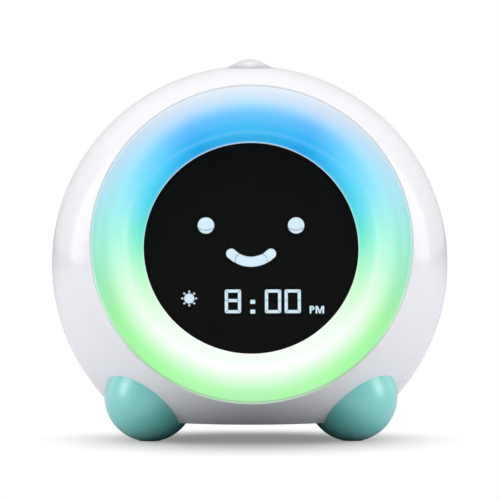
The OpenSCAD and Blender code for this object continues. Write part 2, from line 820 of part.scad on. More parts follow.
// Key cap with a domed top, a flange that keeps it in and a stem over its switch
module key(k) color("whitesmoke") in_back() key_place(k) rotate_extrude() {
    dome_r = 24;
    top = back_cut + key_proud;
    intersection() {
        translate([0, top - dome_r]) circle(dome_r, $fn = 180);
        translate([0, back_in - 0.8]) square([key_r, 6]);
    }
    translate([0, back_in - 1.2 - seat_gap]) square([key_flange_r, 1.2]);
    translate([0, key_foot]) square([1.7, back_in - 0.6 - key_foot]);
}

module key_clock() key(0);
module key_alarm() key(1);
module key_timer() key(2);
module key_light() key(3);
module key_down() key(4);
module key_up() key(5);

module key_board() color("darkgreen") in_back() difference() {
    translate([0, key_y, 0]) plate([92, 13], 1.5, key_board_z, key_board_z + board_t);
    for (side = [-1, 1]) translate([side * key_boss_x, key_y, 0])
        disc(1.1, key_board_z - 1, key_board_z + 3);
}

module key_switches() color("dimgray") in_back() key_places() {
    block([6, 6], key_board_z + board_t, key_board_z + 3);
    disc(1.6, key_board_z + 3, key_board_z + 3.5);
}

// ---------------------------------------------------------------- power inlet

module power_socket() color("#181818") in_back() translate(socket_pos) difference() {
    union() {
        disc(socket_r, back_in - 3, back_cut - 0.4);
        block([10, 9.4], back_in - 13, back_in - 0.2);
    }
    disc(socket_bore_r, back_in - 9, back_cut + 1);
}

module socket_pin() color("gold") in_back() translate(socket_pos) disc(0.95, back_in - 9, back_cut - 1.6);

// ---------------------------------------------------------------- batteries

module at_door() in_back() translate([0, door_y, 0]) children();

module battery_box() color("gainsboro") at_door() difference() {
    union() {
        plate([door_w + 3, door_h + 3], 3, back_in - 3.4, back_in - 2);
        plate([bay_w + 2.4, bay_h + 2.4], 2, cell_z - 6.8, back_in - 3);
    }
    plate([bay_w, bay_h], 1, cell_z - 5.4, back_in);
}

module cell_places() for (k = [0, 1]) translate([0, (2 * k - 1) * cell_dy, cell_z])
    rotate([0, k == 0 ? 90 : -90, 0]) children();

module battery_cells() color("royalblue") at_door() cell_places() {
    disc(cell_r, -cell_length / 2, cell_length / 2 - 0.8);
    disc(1.9, cell_length / 2 - 1, cell_length / 2);
}

// A flat contact at each cell's button and a coil at its base
module battery_contacts() color("silver") at_door() cell_places() {
    block([8, 8], bay_w / 2 - 0.4, bay_w / 2);
    block([2, 4], cell_length / 2, bay_w / 2 - 0.4);
    block([8, 8], -bay_w / 2, -bay_w / 2 + 0.4);
    translate([0, 0, -bay_w / 2 + 0.42])
        coil(3.4, 2.2, (bay_w - cell_length) / 2 - 0.44, 2, 0.3, 12);
}

module battery_door() color("whitesmoke") at_door() difference() {
    union() {
        plate([door_w, door_h], 3, back_cut - door_t, back_cut);
        difference() {
            plate([bay_w - 0.6, bay_h - 0.6], 1.2, back_cut - door_t - 1.8, back_cut - door_t);
            plate([bay_w - 3, bay_h - 3], 1, back_cut - door_t - 3, back_cut - door_t);
        }
    }
    translate([0, door_h / 2 - 4.5, 0]) plate([14, 3], 1.4, back_cut - 0.7, back_cut + 1);
}

// ---------------------------------------------------------------- feet

// A ball foot hollowed to the body it stands under, with a peg through the wall
module foot(side, end) color("mediumaquamarine") difference() {
    union() {
        difference() {
            in_ball() translate([side * foot_x, -end * foot_f, -foot_drop]) sphere(foot_r);
            in_ball() ball_solid(ball_r, belly_cut);
        }
        on_foot(side, end) disc(peg_r, ball_r - peg_in, ball_r + 3);
    }
    translate([0, 0, -far]) linear_extrude(far + pad_proud) square(far, center = true);
    at_pad(side, end) disc(pad_r, -1, pad_proud + pad_depth);
    on_foot(side, end) disc(1.25, ball_r - 10, ball_r + 5);
}

module at_pad(side, end) translate([side * foot_x, ball_y - end * foot_f, 0]) children();

module front_foot_left() foot(-1, 1);
module front_foot_right() foot(1, 1);
module rear_foot_left() foot(-1, -1);
module rear_foot_right() foot(1, -1);

module foot_pads() color("#404040") for (side = [-1, 1], end = [-1, 1])
    at_pad(side, end) disc(pad_r, 0, pad_proud + pad_depth);

module foot_screws() color("silver") all_feet() {
    disc(2.4, ball_r - peg_in - 1.6, ball_r - peg_in);
    disc(1.25, ball_r - peg_in - 1, ball_r + 4.6);
}

// ---------------------------------------------------------------- nodes

front_housing();
rear_cover();
light_ring();
ring_reflector();
ring_led_board();
ring_leds();
display_lens();
segment_mask();
segment_diffusers();
display_board();
segment_leds();
main_board();
board_chips();
ribbon_cable();
top_button();
button_spring();
button_bracket();
top_switch();
speaker_frame();
speaker_cone();
speaker_magnet();
speaker_gasket();
speaker_clamp();
key_clock();
key_alarm();
key_timer();
key_light();
key_down();
key_up();
key_board();
key_switches();
power_socket();
socket_pin();
battery_box();
battery_cells();
battery_contacts();
battery_door();
front_foot_left();
front_foot_right();
rear_foot_left();
rear_foot_right();
foot_pads();
housing_screws();
ring_screws();
board_screws();
foot_screws();
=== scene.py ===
"""Looks, printed signs and studio for a ball-shaped children's alarm clock with a night light."""

import math

import bmesh
import bpy
from bpy.props import FloatProperty, FloatVectorProperty, PointerProperty
from mathutils import Matrix, Vector


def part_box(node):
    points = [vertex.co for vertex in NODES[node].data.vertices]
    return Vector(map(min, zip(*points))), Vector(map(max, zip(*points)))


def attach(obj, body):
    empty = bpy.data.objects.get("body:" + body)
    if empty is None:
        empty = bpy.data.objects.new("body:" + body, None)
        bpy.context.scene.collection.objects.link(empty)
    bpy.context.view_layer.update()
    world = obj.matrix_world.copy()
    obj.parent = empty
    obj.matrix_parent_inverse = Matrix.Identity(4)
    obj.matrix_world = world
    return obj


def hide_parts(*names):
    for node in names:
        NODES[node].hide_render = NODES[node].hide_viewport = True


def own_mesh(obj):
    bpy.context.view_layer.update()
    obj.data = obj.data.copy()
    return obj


bl_info = {
    "name": "Ball Alarm Clock",
    "version": (1, 0, 0),
    "blender": (4, 5, 0),
    "location": "View3D > Sidebar > Alarm Clock",
    "description": "Finishes, display signs, key signs and studio for a ball-shaped alarm clock",
    "category": "Object",
}

MM = 0.001
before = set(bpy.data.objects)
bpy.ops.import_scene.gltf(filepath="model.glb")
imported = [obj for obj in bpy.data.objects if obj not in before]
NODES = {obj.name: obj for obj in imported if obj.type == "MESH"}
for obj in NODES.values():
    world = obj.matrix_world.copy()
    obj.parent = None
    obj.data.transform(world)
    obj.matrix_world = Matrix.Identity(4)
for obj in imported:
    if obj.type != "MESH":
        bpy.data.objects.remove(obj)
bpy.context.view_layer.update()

# The clock's own frames, in metres: the ball's centre, the tilted face and the flat back
BALL_CENTRE = Vector((0, 4.96, 64.7)) * MM
FACE_TILT = math.radians(12.8)
FACE = Matrix.Translation(BALL_CENTRE) @ Matrix.Rotation(math.pi / 2 - FACE_TILT, 4, "X")
BACK = Matrix.Translation(BALL_CENTRE) @ Matrix.Rotation(math.pi, 4, "Z") @ Matrix.Rotation(
    math.pi / 2, 4, "X")
# From the ball's centre to the flat back, in metres
BACK_DEPTH = 48 * MM

# Nearly all of a pattern's values lie between these two
PATTERN_LOW, PATTERN_HIGH = 0.3, 0.7

# The ring's light, its painted highlights and its painted shade, as smooth fades: start, end, and
# the value at each. Heights run from -1 at the ring's bottom to 1 at its top, and radii are in
# millimetres from its axis
HEIGHT_FADES = {
    "white_inside": (-1.0, 0.53, 0.93, 0.01),
    "white_crest": (-1.0, 0.8, 0.95, 0.085),
    "white_flank": (0.06, 1.2, 0.355, 0.83),
    "white_flank_low": (-0.8, -1.0, 0.0, 0.09),
    "rim_white": (-0.9, -0.3, 0.15, 0.3),
    "arc_bend": (0.6, 1.0, 0.0, 1.9 * MM),
    "arc_white": (0.3, 0.7, 0.0, 0.06),
    "deep_upward": (-0.5, 1.0, 0.0, 1.0),
    "edge_upward": (-1.0, -0.2, 0.0, 1.0),
    "under_downward": (-0.3, -0.85, 0.0, 1.0),
}
RADIUS_FADES = {
    "to_crest": (41.7, 49.2, 0.0, 1.0),
    "to_flank": (47.4, 58.5, 0.0, 1.0),
    "rim": (59.2, 59.7, 0.0, 1.0),
    "lip_white": (40.45, 40.3, 0.0, 0.5),
    "deep": (43.6, 41.2, 0.0, 1.0),
    "edge": (51.0, 57.5, 0.0, 1.0),
}


def linear(code):
    """Linear colour of an sRGB hex value."""
    parts = [int(code[i:i + 2], 16) / 255 for i in (1, 3, 5)]
    return tuple(p / 12.92 if p <= 0.04045 else ((p + 0.055) / 1.055) ** 2.4 for p in parts)


def colour(name, code, description):
    return FloatVectorProperty(name=name, description=description, subtype="COLOR", size=3,
                               min=0, max=1, default=linear(code))


def length(name, millimetres, description):
    return FloatProperty(name=name, description=description, default=millimetres * MM,
                         min=0, subtype="DISTANCE", unit="LENGTH", precision=5)


# ---------------------------------------------------------------- settings


class ClockBodySettings(bpy.types.PropertyGroup):
    shell: colour("Shell", "#EDEDF1", "Glossy white of the two shells")
    shell_roughness: FloatProperty(name="Shell roughness", default=0.13, min=0, max=1,
                                   description="Roughness of the polished shells", subtype="FACTOR")
    keys: colour("Keys", "#E4E4E8", "White of the keys on the back")
    # Greyer than the shells although it is the same white ABS: painted shade
    button: colour("Button", "#D6D6DA", "White of the top button")
    # Painted shade: this grey stands in for the shade in the gap round the button
    button_painted_shade: colour("Button shade", "#B2B2B8", "Grey of the button where it enters its guide")
    foot: colour("Feet", "#76D6D0", "Teal of the ball feet")
    foot_roughness: FloatProperty(name="Feet roughness", default=0.3, min=0, max=1,
                                  description="Roughness of the satin feet", subtype="FACTOR")
    pad: colour("Pads", "#3C3C3C", "Grey of the anti-slip pads")


class NightLightSettings(bpy.types.PropertyGroup):
    crown: colour("Crown", "#34BDFB", "Light at the very top of the ring")
    brow: colour("Brow", "#18B0FA", "Light on both sides of the top")
    shoulder: colour("Shoulder", "#4BD1FF", "Light half-way between the top and the sides")
    temple: colour("Temple", "#4EE1F1", "Light just above the sides")
    side: colour("Side", "#00F0C1", "Light at the sides of the ring")
    foot: colour("Foot", "#47FD30", "Light in the lower half of the ring")
    glow: FloatProperty(name="Glow", default=0.84, min=0, max=5,
                        description="Strength of the light through the ring")
    body: FloatProperty(name="Body", default=0.2, min=0, max=1, subtype="FACTOR",
                        description="How much of the light's colour the unlit plastic shows")


class DisplaySettings(bpy.types.PropertyGroup):
    lit: colour("Lit", "#D6EEFB", "Colour of the lit signs")
    glow: FloatProperty(name="Glow", default=2.05, min=0, max=10,
                        description="Strength of the lit signs behind the smoked lens")
    smoke: FloatProperty(name="Smoke", default=0.35, min=0, max=1, subtype="FACTOR",
                         description="How much the smoked lens hides what is behind it")
    letter_height: length("Letter height", 2.9, "Height of the letters beside the time")
    letter_stroke: length("Letter stroke", 0.62, "Line width of the letters")


class BackSettings(bpy.types.PropertyGroup):
    sign_size: length("Sign size", 3.8, "Height of the sign above each key")
    sign_stroke: length("Sign stroke", 0.42, "Line width of the signs")
    sign_height: length("Sign height", 5.6, "Height of the signs above the ball's centre")
    key_pitch: length("Key pitch", 14, "Distance between keys")
    ink: colour("Ink", "#6D7076", "Grey of the printed signs")


class StudioSettings(bpy.types.PropertyGroup):
    distance: FloatProperty(name="Distance", default=2.5, min=0.5, max=10, unit="LENGTH",
                            subtype="DISTANCE", description="Distance of the camera")
    elevation: FloatProperty(name="Elevation", default=math.radians(3), subtype="ANGLE",
                             unit="ROTATION", description="Height angle of the camera")
    width: length("View width", 189.7, "Width that the view takes in at the clock")
    sideways: FloatProperty(name="Sideways", default=math.radians(0.9), subtype="ANGLE",
                            unit="ROTATION", description="How far the camera stands to the left")
    strip_power: FloatProperty(name="Side lights", default=3.1, min=0, unit="POWER",
                               description="Power of each tall strip light beside the clock")
    edge_power: FloatProperty(name="Edge lights", default=0.6, min=0, unit="POWER",
                              description="Power of each light behind and beside the clock")
    top_power: FloatProperty(name="Top light", default=9.2, min=0, unit="POWER",
                             description="Power of the large light above the clock")
    surroundings: FloatProperty(name="Surroundings", default=0.5, min=0, max=2,
                                description="Brightness of the plain room round the clock")
    reflections: FloatProperty(name="Reflections", default=0.3, min=0, max=1, subtype="FACTOR",
                               description="How much of the backdrop's white the gloss reflects")
    # Painted shadow: the floor is nearly black where the clock stands, as its underside sees it
    floor_painted_shadow: colour("Floor under the clock", "#101014", "Floor as the clock's underside sees it")
    far_floor: colour("Floor round the clock", "#DCDCE0", "Floor as the clock's sides see it")


# ---------------------------------------------------------------- materials


def add_node(tree, kind, inputs=None, **settings):
    """Adds a node with its settings, and sets or links its inputs."""
    node = tree.nodes.new(kind)
    for name, value in settings.items():
        setattr(node, name, value)
    for socket, value in (inputs or {}).items():
        if isinstance(value, bpy.types.NodeSocket):
            tree.links.new(value, node.inputs[socket])
        else:
            node.inputs[socket].default_value = value
    return node


def rgba(values):
    return (*values, 1.0)


def new_material(name):
    """An empty material and its node tree."""
    material = bpy.data.materials.new(name)
    material.use_nodes = True
    material.node_tree.nodes.clear()
    return material, material.node_tree


def darker(values, share):
    return tuple(v * share for v in values)


def drift(tree, period_mm, first, second):
    """A colour that drifts between two tones, as plastic does where it flowed into its mould."""
    place = add_node(tree, "ShaderNodeTexCoord").outputs["Object"]
    flow = add_node(tree, "ShaderNodeTexNoise", {
        "Vector": place, "Scale": 1 / (period_mm * MM), "Detail": 1.0, "Roughness": 0.55})
    share = add_node(tree, "ShaderNodeMapRange", {
        "Value": flow.outputs["Fac"], "From Min": PATTERN_LOW, "From Max": PATTERN_HIGH})
    return add_node(tree, "ShaderNodeMix", {
        "Factor": share.outputs["Result"], "A": rgba(first), "B": rgba(second)},
        data_type="RGBA").outputs["Result"]


def skin(tree, period_mm, smoothest, roughest, depth_mm):
    """A moulded skin that is a little uneven: its roughness and its fine relief."""
    place = add_node(tree, "ShaderNodeTexCoord").outputs["Object"]
    pores = add_node(tree, "ShaderNodeTexNoise", {
        "Vector": place, "Scale": 1 / (period_mm * MM), "Detail": 2.0,
        "Roughness": 0.55}).outputs["Fac"]
    gloss = add_node(tree, "ShaderNodeMapRange", {
        "Value": pores, "From Min": PATTERN_LOW, "From Max": PATTERN_HIGH, "To Min": smoothest,
        "To Max": roughest})
    relief = add_node(tree, "ShaderNodeBump", {
        "Height": pores, "Distance": depth_mm * MM, "Strength": 1.0})
    return {"Roughness": gloss.outputs["Result"], "Normal": relief.outputs["Normal"]}


def moulded_plastic(name, values, roughness, texture_mm=0.6, depth_mm=0.004, tone=0.94, gloss=0.5):
    """Injection-moulded plastic: even colour with a faint flow tone, and a skin that is a little
    uneven in gloss."""
    material, tree = new_material(name)
    shader = add_node(tree, "ShaderNodeBsdfPrincipled", {
        "Base Color": drift(tree, 22, darker(values, tone), values),
        **skin(tree, texture_mm, max(0.02, roughness - 0.03), roughness + 0.03, depth_mm),
        "IOR": 1.53, "Specular IOR Level": gloss})
    add_node(tree, "ShaderNodeOutputMaterial", {"Surface": shader.outputs["BSDF"]})
    return material


def polished_abs(settings):
    # White ABS from a mirror-polished mould: deep gloss with the faint waviness of the moulding,
    # which softens the edge of each reflection
    material, tree = new_material("ABS gloss white")
    place = add_node(tree, "ShaderNodeTexCoord").outputs["Object"]
    wave_mm, haze_mm = 9, 1.2
    wave = add_node(tree, "ShaderNodeTexNoise", {
        "Vector": place, "Scale": 1 / (wave_mm * MM), "Detail": 1.0, "Roughness": 0.55})
    waves = add_node(tree, "ShaderNodeBump", {
        "Height": wave.outputs["Fac"], "Distance": 0.02 * MM, "Strength": 0.35})
    haze = add_node(tree, "ShaderNodeTexNoise", {
        "Vector": place, "Scale": 1 / (haze_mm * MM), "Detail": 2.0, "Roughness": 0.55})
    gloss = add_node(tree, "ShaderNodeMapRange", {
        "Value": haze.outputs["Fac"], "From Min": PATTERN_LOW, "From Max": PATTERN_HIGH,
        "To Min": settings.shell_roughness - 0.02, "To Max": settings.shell_roughness + 0.03})
    shader = add_node(tree, "ShaderNodeBsdfPrincipled", {
        "Base Color": drift(tree, 30, darker(settings.shell, 0.985), settings.shell),
        "Roughness": gloss.outputs["Result"], "Normal": waves.outputs["Normal"], "IOR": 1.54,
        "Coat Weight": 0.15, "Coat Roughness": 0.05, "Coat IOR": 1.5})
    add_node(tree, "ShaderNodeOutputMaterial", {"Surface": shader.outputs["BSDF"]})
    return material


def recessed_button(settings):
    # White ABS, polished like the shell, with painted shade where it dips into the gap round it:
    # the painted shade starts 3.4 mm under the button's top and is gone 1.9 mm higher
    material, tree = new_material("ABS gloss white button")
    place = add_node(tree, "ShaderNodeTexCoord").outputs["Object"]
    height = add_node(tree, "ShaderNodeSeparateXYZ", {"Vector": place}).outputs["Z"]
    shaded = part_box("top_button")[1].z - 3.4 * MM
    clear = add_node(tree, "ShaderNodeMapRange", {
        "Value": height, "From Min": shaded, "From Max": shaded + 1.9 * MM},
        interpolation_type="SMOOTHSTEP")
    white = add_node(tree, "ShaderNodeMix", {
        "Factor": clear.outputs["Result"], "A": rgba(settings.button_painted_shade),
        "B": rgba(settings.button)}, data_type="RGBA")
    shader = add_node(tree, "ShaderNodeBsdfPrincipled", {
        "Base Color": white.outputs["Result"], **skin(tree, 1.2, 0.14, 0.19, 0.002),
        "IOR": 1.53})
    add_node(tree, "ShaderNodeOutputMaterial", {"Surface": shader.outputs["BSDF"]})
    return material


def satin_abs(settings):
    # Teal ABS from a finely eroded mould: a satin skin over the colour, whose sheen lays one broad
    # pale highlight on each side, so the coat's IOR is above that of plain plastic
    material, tree = new_material("ABS satin teal")
    shader = add_node(tree, "ShaderNodeBsdfPrincipled", {
        "Base Color": drift(tree, 22, darker(settings.foot, 0.94), settings.foot),
        **skin(tree, 0.35, settings.foot_roughness - 0.03, settings.foot_roughness + 0.03, 0.004),
        "IOR": 1.53, "Coat Weight": 1.0, "Coat Roughness": 0.42, "Coat IOR": 1.8})
    add_node(tree, "ShaderNodeOutputMaterial", {"Surface": shader.outputs["BSDF"]})
    return material


def lit_opal(settings):
    # Opal polycarbonate, moulded satin: the lamps behind it shine through as one soft glow that
    # changes hue round the ring, with a painted highlight of white where it faces up to the light
    # above, and painted shade at its edges
    material, tree = new_material("Opal polycarbonate lit")
    place = add_node(tree, "ShaderNodeTexCoord").outputs["Object"]
    on_face = add_node(tree, "ShaderNodeMapping", {
        "Vector": place, "Location": BALL_CENTRE,
        "Rotation": (math.pi / 2 - FACE_TILT, 0, 0)}, vector_type="TEXTURE").outputs["Vector"]
    parts = add_node(tree, "ShaderNodeSeparateXYZ", {"Vector": on_face}).outputs
    flat = add_node(tree, "ShaderNodeCombineXYZ", {"X": parts["X"], "Y": parts["Y"]})
    radius = add_node(tree, "ShaderNodeVectorMath", {"Vector": flat.outputs["Vector"]},
                      operation="LENGTH").outputs["Value"]
    height = add_node(tree, "ShaderNodeMath", {0: parts["Y"], 1: radius},
                      operation="DIVIDE").outputs["Value"]
    fade = {}
    for along, unit, fades in ((height, 1, HEIGHT_FADES), (radius, MM, RADIUS_FADES)):
        for name, (low, high, first, last) in fades.items():
            fade[name] = add_node(tree, "ShaderNodeMapRange", {
                "Value": along, "From Min": low * unit, "From Max": high * unit,
                "To Min": first, "To Max": last},
                interpolation_type="SMOOTHSTEP").outputs["Result"]

    # The hue by height
    upward = add_node(tree, "ShaderNodeMapRange", {
        "Value": height, "From Min": -1.0, "From Max": 1.0})
    ramp = add_node(tree, "ShaderNodeValToRGB", {"Fac": upward.outputs["Result"]})
    stops = ((0.0, settings.foot), (0.25, settings.foot), (0.5, settings.side),
             (0.66, settings.temple), (0.82, settings.shoulder), (0.94, settings.brow),
             (1.0, settings.crown))
    while len(ramp.color_ramp.elements) < len(stops):
        ramp.color_ramp.elements.new(0.5)
    for element, (share, tint) in zip(ramp.color_ramp.elements, stops):
        element.position = share
        element.color = rgba(tint)

    # Painted highlight, a white wash where the ring faces up to the light above: strong inside the
    # crest at the bottom, strong on the outer flank at the top
    flank = add_node(tree, "ShaderNodeMath", {
        0: fade["white_flank"], 1: fade["white_flank_low"]}, operation="ADD")
    painted_highlight = add_node(tree, "ShaderNodeMix", {
        "Factor": fade["to_crest"], "A": fade["white_inside"], "B": fade["white_crest"]})
    painted_highlight = add_node(tree, "ShaderNodeMix", {
        "Factor": fade["to_flank"], "A": painted_highlight.outputs["Result"], "B": flank.outputs["Value"]})

    # The lip round the lens and the rim in its gap are thin and catch the light: painted highlights
    rim_white = add_node(tree, "ShaderNodeMath", {
        0: fade["rim"], 1: fade["rim_white"]}, operation="MULTIPLY")
    lip_and_rim_highlights = add_node(tree, "ShaderNodeMath", {
        0: fade["lip_white"], 1: rim_white.outputs["Value"]}, operation="ADD")

    # One faint painted highlight arcs across the upper cone
    bent = add_node(tree, "ShaderNodeMath", {0: radius, 1: fade["arc_bend"]},
                    operation="ADD").outputs["Value"]
    arc_inner, arc_middle, arc_outer = 44.1 * MM, 44.9 * MM, 45.9 * MM
    rising = add_node(tree, "ShaderNodeMapRange", {
        "Value": bent, "From Min": arc_inner, "From Max": arc_middle},
        interpolation_type="SMOOTHSTEP")
    falling = add_node(tree, "ShaderNodeMapRange", {
        "Value": bent, "From Min": arc_middle, "From Max": arc_outer, "To Min": 1.0,
        "To Max": 0.0}, interpolation_type="SMOOTHSTEP")
    arc = add_node(tree, "ShaderNodeMath", {
        0: rising.outputs["Result"], 1: falling.outputs["Result"]}, operation="MULTIPLY")
    arc = add_node(tree, "ShaderNodeMath", {
        0: arc.outputs["Value"], 1: fade["arc_white"]}, operation="MULTIPLY")

    lines = add_node(tree, "ShaderNodeMath", {
        0: lip_and_rim_highlights.outputs["Value"], 1: arc.outputs["Value"]}, operation="ADD")
    painted_highlight = add_node(tree, "ShaderNodeMath", {
        0: painted_highlight.outputs["Result"], 1: lines.outputs["Value"]}, operation="ADD", use_clamp=True)
    light = add_node(tree, "ShaderNodeMix", {
        "Factor": painted_highlight.outputs["Value"], "A": ramp.outputs["Color"],
        "B": rgba(linear("#FCFEFD"))}, data_type="RGBA").outputs["Result"]

    # Painted shade: the ring is darker at its outer edge, at the rim where it turns down to the
    # table, and at the inner edge above the lens
    for across, along, code in (("edge", "edge_upward", "#E6E9EE"),
                                ("rim", "under_downward", "#D4D4D6"),
                                ("deep", "deep_upward", "#EEEEEE")):
        share = add_node(tree, "ShaderNodeMath", {0: fade[across], 1: fade[along]},
                         operation="MULTIPLY")
        light = add_node(tree, "ShaderNodeMix", {
            "Factor": share.outputs["Value"], "A": light, "B": rgba(linear(code))},
            data_type="RGBA", blend_type="MULTIPLY").outputs["Result"]
    body = add_node(tree, "ShaderNodeMix", {
        "Factor": settings.body, "A": rgba(linear("#000000")), "B": light}, data_type="RGBA")
    shader = add_node(tree, "ShaderNodeBsdfPrincipled", {
        "Base Color": body.outputs["Result"], **skin(tree, 0.5, 0.36, 0.42, 0.003),
        "IOR": 1.58, "Specular IOR Level": 0.3,
        "Emission Color": light, "Emission Strength": settings.glow})
    add_node(tree, "ShaderNodeOutputMaterial", {"Surface": shader.outputs["BSDF"]})
    return material


def smoked_acrylic(settings):
    # Smoked PMMA with a matt front: nearly black until something behind it lights up
    material, tree = new_material("Acrylic smoked")
    shader = add_node(tree, "ShaderNodeBsdfPrincipled", {
        "Base Color": drift(tree, 18, linear("#141414"), linear("#151515")),
        **skin(tree, 0.4, 0.3, 0.36, 0.0005),
        "IOR": 1.49, "Specular IOR Level": 0.08, "Alpha": settings.smoke})
    add_node(tree, "ShaderNodeOutputMaterial", {"Surface": shader.outputs["BSDF"]})
    return material


def lit_diffuser(settings):
    # Milky silicone insert over a lamp: bright, with a faint unevenness from the lamp behind it
    material, tree = new_material("Silicone milky lit")
    place = add_node(tree, "ShaderNodeTexCoord").outputs["Object"]
    cloud_mm = 1.6
    noise = add_node(tree, "ShaderNodeTexNoise", {
        "Vector": place, "Scale": 1 / (cloud_mm * MM), "Detail": 1.0, "Roughness": 0.55})
    cloud = add_node(tree, "ShaderNodeMapRange", {
        "Value": noise.outputs["Fac"], "From Min": PATTERN_LOW,
        "From Max": PATTERN_HIGH}).outputs["Result"]
    light = add_node(tree, "ShaderNodeMix", {
        "Factor": cloud, "A": rgba(darker(settings.lit, 0.93)), "B": rgba(settings.lit)},
        data_type="RGBA").outputs["Result"]
    gloss = add_node(tree, "ShaderNodeMapRange", {
        "Value": cloud, "From Min": PATTERN_LOW, "From Max": PATTERN_HIGH, "To Min": 0.5,
        "To Max": 0.6})
    shader = add_node(tree, "ShaderNodeBsdfPrincipled", {
        "Base Color": light, "Roughness": gloss.outputs["Result"], "IOR": 1.41,
        "Emission Color": light, "Emission Strength": settings.glow})
    add_node(tree, "ShaderNodeOutputMaterial", {"Surface": shader.outputs["BSDF"]})
    return material


def drawn_metal(name, values, roughness, line_mm=0.5):
    """Drawn or turned metal: fine lines along the working direction that stretch the gloss."""
    material, tree = new_material(name)
    place = add_node(tree, "ShaderNodeTexCoord").outputs["Object"]
    along = add_node(tree, "ShaderNodeMapping", {"Vector": place, "Scale": (1, 1, 6)})
    lines = add_node(tree, "ShaderNodeTexNoise", {
        "Vector": along.outputs["Vector"], "Scale": 1 / (line_mm * MM),
        "Detail": 3.0}).outputs["Fac"]
    share = add_node(tree, "ShaderNodeMapRange", {
        "Value": lines, "From Min": PATTERN_LOW, "From Max": PATTERN_HIGH})
    grey = add_node(tree, "ShaderNodeMix", {
        "Factor": share.outputs["Result"], "A": rgba(darker(values, 0.85)), "B": rgba(values)},
        data_type="RGBA")
    gloss = add_node(tree, "ShaderNodeMapRange", {
        "Value": lines, "From Min": PATTERN_LOW, "From Max": PATTERN_HIGH,
        "To Min": roughness - 0.06, "To Max": roughness + 0.08})
    relief = add_node(tree, "ShaderNodeBump", {
        "Height": lines, "Distance": 0.002 * MM, "Strength": 1.0})
    shader = add_node(tree, "ShaderNodeBsdfPrincipled", {
        "Base Color": grey.outputs["Result"], "Roughness": gloss.outputs["Result"],
        "Metallic": 1.0, "Normal": relief.outputs["Normal"]})
    add_node(tree, "ShaderNodeOutputMaterial", {"Surface": shader.outputs["BSDF"]})
    return material


def circuit_board():
    # FR4 laminate under green solder resist, with copper tracks that show through as paler lines.
    # One row of the brick pattern is a quarter of its unit, and nine rows of tracks take 25 mm
    material, tree = new_material("FR4 green solder resist")
    place = add_node(tree, "ShaderNodeTexCoord").outputs["Object"]
    row, rows, rows_mm = 0.25, 9, 25
    tracks = add_node(tree, "ShaderNodeTexBrick", {
        "Vector": place, "Color1": rgba(linear("#145C3A")), "Color2": rgba(linear("#17653F")),
        "Mortar": rgba(linear("#3E8F5F")), "Scale": row * rows / (rows_mm * MM),
        "Mortar Size": 0.02})
    shader = add_node(tree, "ShaderNodeBsdfPrincipled", {
        "Base Color": tracks.outputs["Color"], **skin(tree, 0.8, 0.3, 0.4, 0.003), "IOR": 1.55})
    add_node(tree, "ShaderNodeOutputMaterial", {"Surface": shader.outputs["BSDF"]})
    return material


def flat_cable():
    # Grey PVC ribbon: one rib for each wire, 0.8 mm apart. The pattern turns by 20 radians in each
    # of its units
    material, tree = new_material("PVC ribbon grey")
    place = add_node(tree, "ShaderNodeTexCoord").outputs["Object"]
    rib_mm = 0.798
    ribs = add_node(tree, "ShaderNodeTexWave", {
        "Vector": place, "Scale": math.tau / 20 / (rib_mm * MM), "Distortion": 0.0},
        bands_direction="X").outputs["Fac"]
    grey = add_node(tree, "ShaderNodeMix", {
        "Factor": ribs, "A": rgba(linear("#9FA2A5")), "B": rgba(linear("#C7C9CB"))},
        data_type="RGBA")
    gloss = add_node(tree, "ShaderNodeMapRange", {
        "Value": ribs, "From Min": PATTERN_LOW, "From Max": PATTERN_HIGH, "To Min": 0.45,
        "To Max": 0.5})
    relief = add_node(tree, "ShaderNodeBump", {
        "Height": ribs, "Distance": 0.15 * MM, "Strength": 1.0})
    shader = add_node(tree, "ShaderNodeBsdfPrincipled", {
        "Base Color": grey.outputs["Result"], "Roughness": gloss.outputs["Result"],
        "Normal": relief.outputs["Normal"], "IOR": 1.53})
    add_node(tree, "ShaderNodeOutputMaterial", {"Surface": shader.outputs["BSDF"]})
    return material


def wrapped_cell():
    # Dry cell in a shrunk printed film: blue over most of its length, pale at one end
    material, tree = new_material("PVC shrink film blue")
    place = add_node(tree, "ShaderNodeTexCoord").outputs["Object"]
    across = add_node(tree, "ShaderNodeSeparateXYZ", {"Vector": place}).outputs["X"]
    band = add_node(tree, "ShaderNodeMapRange", {
        "Value": across, "From Min": 11.8 * MM, "From Max": 12 * MM})
    film = add_node(tree, "ShaderNodeMix", {
        "Factor": band.outputs["Result"], "A": rgba(linear("#3556A8")),
        "B": rgba(linear("#C9CED6"))}, data_type="RGBA")
    shader = add_node(tree, "ShaderNodeBsdfPrincipled", {
        "Base Color": film.outputs["Result"], **skin(tree, 3.0, 0.22, 0.3, 0.01), "IOR": 1.53})
    add_node(tree, "ShaderNodeOutputMaterial", {"Surface": shader.outputs["BSDF"]})
    return material


# ---------------------------------------------------------------- pieces


def finish(material, *names):
    """Gives CAD nodes their material."""
    for name in names:
        node = NODES[name]
        if not node.data.materials:
            node.data.materials.append(material)
        for slot in node.material_slots:
            slot.material = material


def settle(piece, body, material):
    """Gives a new piece its material and the body that carries it."""
    piece.data.materials.clear()
    piece.data.materials.append(material)
    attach(piece, body)
    return piece


def sign(name, loops, where, thickness):
    """A thin printed sign from closed outlines; an outline inside another is a hole."""
    curve = bpy.data.curves.new(name, "CURVE")
    curve.dimensions = "2D"
    curve.fill_mode = "BOTH"
    curve.extrude = thickness / 2
    for loop in loops:
        spline = curve.splines.new("POLY")
        spline.points.add(len(loop) - 1)
        for point, (x, y) in zip(spline.points, loop):
            point.co = (x, y, 0, 1)
        spline.use_cyclic_u = True
    return as_mesh(name, curve, where @ Matrix.Translation((0, 0, thickness / 2)))


